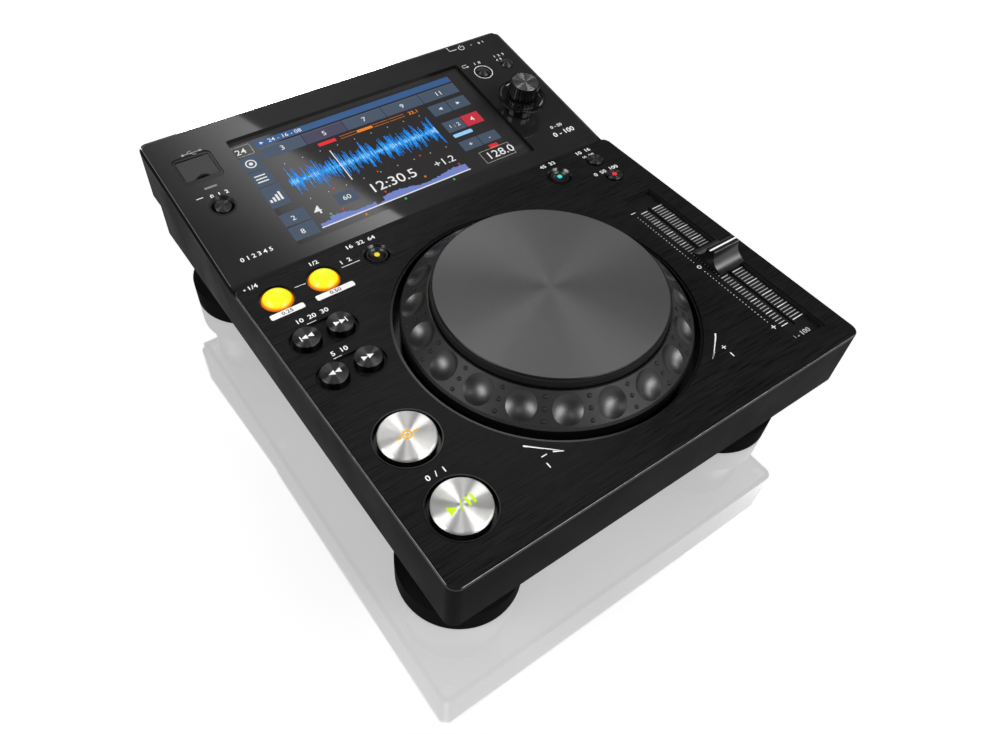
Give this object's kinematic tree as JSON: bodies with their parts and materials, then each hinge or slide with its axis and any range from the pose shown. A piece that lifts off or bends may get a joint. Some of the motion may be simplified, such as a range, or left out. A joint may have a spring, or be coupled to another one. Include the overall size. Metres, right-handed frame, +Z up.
{
  "type": "tabletop media player",
  "caption": "Tabletop media player for disc jockeys: black deck on round feet, dimpled jog wheel, tempo fader, round buttons, tilted touch display, selector knob and USB socket.",
  "frame": {"origin": "centre of the footprint, on the table", "axes": "+X to the operator's right, +Y away from the operator towards the connectors, +Z up; the jog wheel's axis is parallel to +Z"},
  "size_m": [0.231, 0.2882, 0.1032],
  "materials": {
    "shell": "satin",
    "deck_metal": "brushed, black anodised",
    "panel_metal": "brushed, black anodised",
    "steel_black": "black, satin",
    "bright_steel": "plated",
    "gloss_black": "gloss",
    "button_gloss": "gloss",
    "jog_gloss": "satin gloss",
    "platter_top": "spun, dark grey",
    "silver_disc": "spun",
    "lit_dome": "translucent, glowing yellow",
    "lit_dot": "translucent lens",
    "foot_plastic": "satin",
    "foot_rubber": "matte",
    "screen_glass": "clear, dark behind",
    "display": "lit screen",
    "circuit": "solder resist",
    "socket_metal": "plated",
    "gold_plated": "plated",
    "switch_plastic": "matte",
    "bush_bronze": "sintered",
    "fader_black": "gloss"
  },
  "bodies": {
    "base": {"ac_inlet": "switch_plastic", "audio_jacks": "gold_plated", "bottom_cover": "steel_black", "button_bezels": "gloss_black", "case_screws": "bright_steel", "data_ports": "socket_metal", "deck_boards": "circuit", "deck_case": "shell", "deck_plate": "deck_metal", "display_bracket": "bright_steel", "display_housing": "shell", "display_panel": "panel_metal", "fader_channel": "bright_steel", "fader_tray": "gloss_black", "foot_legs": "foot_plastic", "foot_pads": "foot_rubber", "jog_sensor": "switch_plastic", "jog_spindle": "bright_steel", "jog_washers": "bright_steel", "jog_well": "gloss_black", "lcd_module": "display", "light_pipes": "lit_dot", "main_board": "circuit", "panel_boards": "circuit", "power_board": "circuit", "rear_panel": "steel_black", "selector_encoder": "bright_steel", "switches": "switch_plastic", "touch_glass": "screen_glass", "usb_port": "socket_metal"},
    "jog": {"jog_ring": "jog_gloss", "jog_bush": "bush_bronze", "encoder_disc": "switch_plastic", "touch_switch": "switch_plastic"},
    "platter": {"jog_platter": "jog_gloss", "platter_plate": "platter_top"},
    "fader": {"fader_lever": "switch_plastic", "fader_knob": "fader_black"},
    "selector_turn": {"selector_rotor": "switch_plastic"},
    "selector_push": {"selector_shaft": "bright_steel", "selector_knob": "gloss_black"},
    "usb_cover": {"usb_lid": "gloss_black"},
    "cue": {"cue_button": "gloss_black", "cue_disc": "silver_disc"},
    "play": {"play_button": "gloss_black", "play_disc": "silver_disc"},
    "power": {"power_button": "button_gloss"},
    "loop_in": {"loop_in_button": "lit_dome"},
    "loop_out": {"loop_out_button": "lit_dome"},
    "reloop": {"reloop_button": "button_gloss"},
    "track_back": {"track_back_button": "button_gloss"},
    "track_forward": {"track_forward_button": "button_gloss"},
    "search_back": {"search_back_button": "button_gloss"},
    "search_forward": {"search_forward_button": "button_gloss"},
    "vinyl": {"vinyl_button": "button_gloss"},
    "range": {"range_button": "button_gloss"},
    "master": {"master_button": "button_gloss"},
    "usb_stop": {"usb_stop_button": "button_gloss"},
    "back": {"back_button": "button_gloss"},
    "tag": {"tag_button": "button_gloss"}
  },
  "joints": [
    {"name": "jog_spin", "type": "hinge", "parent": "base", "child": "jog", "pos_m": [-0.001, -0.0549, 0.0783], "axis": [0, 0, 1], "continuous": true},
    {"name": "platter_press", "type": "slide", "parent": "jog", "child": "platter", "axis": [0, 0, -1], "range_m": [0, 0.0005], "stiffness_N_per_m": 8000, "springref_m": -0.0005},
    {"name": "fader_slide", "type": "slide", "parent": "base", "child": "fader", "axis": [0, 1, 0], "range_m": [-0.048, 0.048]},
    {"name": "selector_spin", "type": "hinge", "parent": "base", "child": "selector_turn", "pos_m": [0.0858, 0.07941, 0.08259], "axis": [0, -0.1633, 0.9866], "continuous": true},
    {"name": "selector_press", "type": "slide", "parent": "selector_turn", "child": "selector_push", "axis": [0, 0.1633, -0.9866], "range_m": [0, 0.0005], "stiffness_N_per_m": 3000, "springref_m": -0.0005},
    {"name": "usb_cover_hinge", "type": "hinge", "parent": "base", "child": "usb_cover", "pos_m": [-0.09475, 0.12377, 0.08866], "axis": [-1, 0, 0], "range_deg": [0, 100]},
    {"name": "cue_press", "type": "slide", "parent": "base", "child": "cue", "axis": [0, 0, -1], "range_m": [0, 0.001], "stiffness_N_per_m": 1500, "springref_m": -0.001},
    {"name": "play_press", "type": "slide", "parent": "base", "child": "play", "axis": [0, 0, -1], "range_m": [0, 0.001], "stiffness_N_per_m": 1500, "springref_m": -0.001},
    {"name": "power_press", "type": "slide", "parent": "base", "child": "power", "axis": [0, -1, 0], "range_m": [0, 0.0015], "stiffness_N_per_m": 800, "springref_m": -0.001},
    {"name": "loop_in_press", "type": "slide", "parent": "base", "child": "loop_in", "axis": [0, 0, -1], "range_m": [0, 0.0005], "stiffness_N_per_m": 1500, "springref_m": -0.0005},
    {"name": "loop_out_press", "type": "slide", "parent": "base", "child": "loop_out", "axis": [0, 0, -1], "range_m": [0, 0.0005], "stiffness_N_per_m": 1500, "springref_m": -0.0005},
    {"name": "reloop_press", "type": "slide", "parent": "base", "child": "reloop", "axis": [0, 0, -1], "range_m": [0, 0.0005], "stiffness_N_per_m": 1500, "springref_m": -0.0005},
    {"name": "track_back_press", "type": "slide", "parent": "base", "child": "track_back", "axis": [0, 0, -1], "range_m": [0, 0.0005], "stiffness_N_per_m": 1500, "springref_m": -0.0005},
    {"name": "track_forward_press", "type": "slide", "parent": "base", "child": "track_forward", "axis": [0, 0, -1], "range_m": [0, 0.0005], "stiffness_N_per_m": 1500, "springref_m": -0.0005},
    {"name": "search_back_press", "type": "slide", "parent": "base", "child": "search_back", "axis": [0, 0, -1], "range_m": [0, 0.0005], "stiffness_N_per_m": 1500, "springref_m": -0.0005},
    {"name": "search_forward_press", "type": "slide", "parent": "base", "child": "search_forward", "axis": [0, 0, -1], "range_m": [0, 0.0005], "stiffness_N_per_m": 1500, "springref_m": -0.0005},
    {"name": "vinyl_press", "type": "slide", "parent": "base", "child": "vinyl", "axis": [0, 0, -1], "range_m": [0, 0.0005], "stiffness_N_per_m": 1500, "springref_m": -0.0005},
    {"name": "range_press", "type": "slide", "parent": "base", "child": "range", "axis": [0, 0, -1], "range_m": [0, 0.0005], "stiffness_N_per_m": 1500, "springref_m": -0.0005},
    {"name": "master_press", "type": "slide", "parent": "base", "child": "master", "axis": [0, 0, -1], "range_m": [0, 0.0005], "stiffness_N_per_m": 1500, "springref_m": -0.0005},
    {"name": "usb_stop_press", "type": "slide", "parent": "base", "child": "usb_stop", "axis": [0, 0.1633, -0.9866], "range_m": [0, 0.0005], "stiffness_N_per_m": 1500, "springref_m": -0.0005},
    {"name": "back_press", "type": "slide", "parent": "base", "child": "back", "axis": [0, 0.1633, -0.9866], "range_m": [0, 0.0005], "stiffness_N_per_m": 1500, "springref_m": -0.0005},
    {"name": "tag_press", "type": "slide", "parent": "base", "child": "tag", "axis": [0, 0.1633, -0.9866], "range_m": [0, 0.0005], "stiffness_N_per_m": 1500, "springref_m": -0.0005}
  ]
}
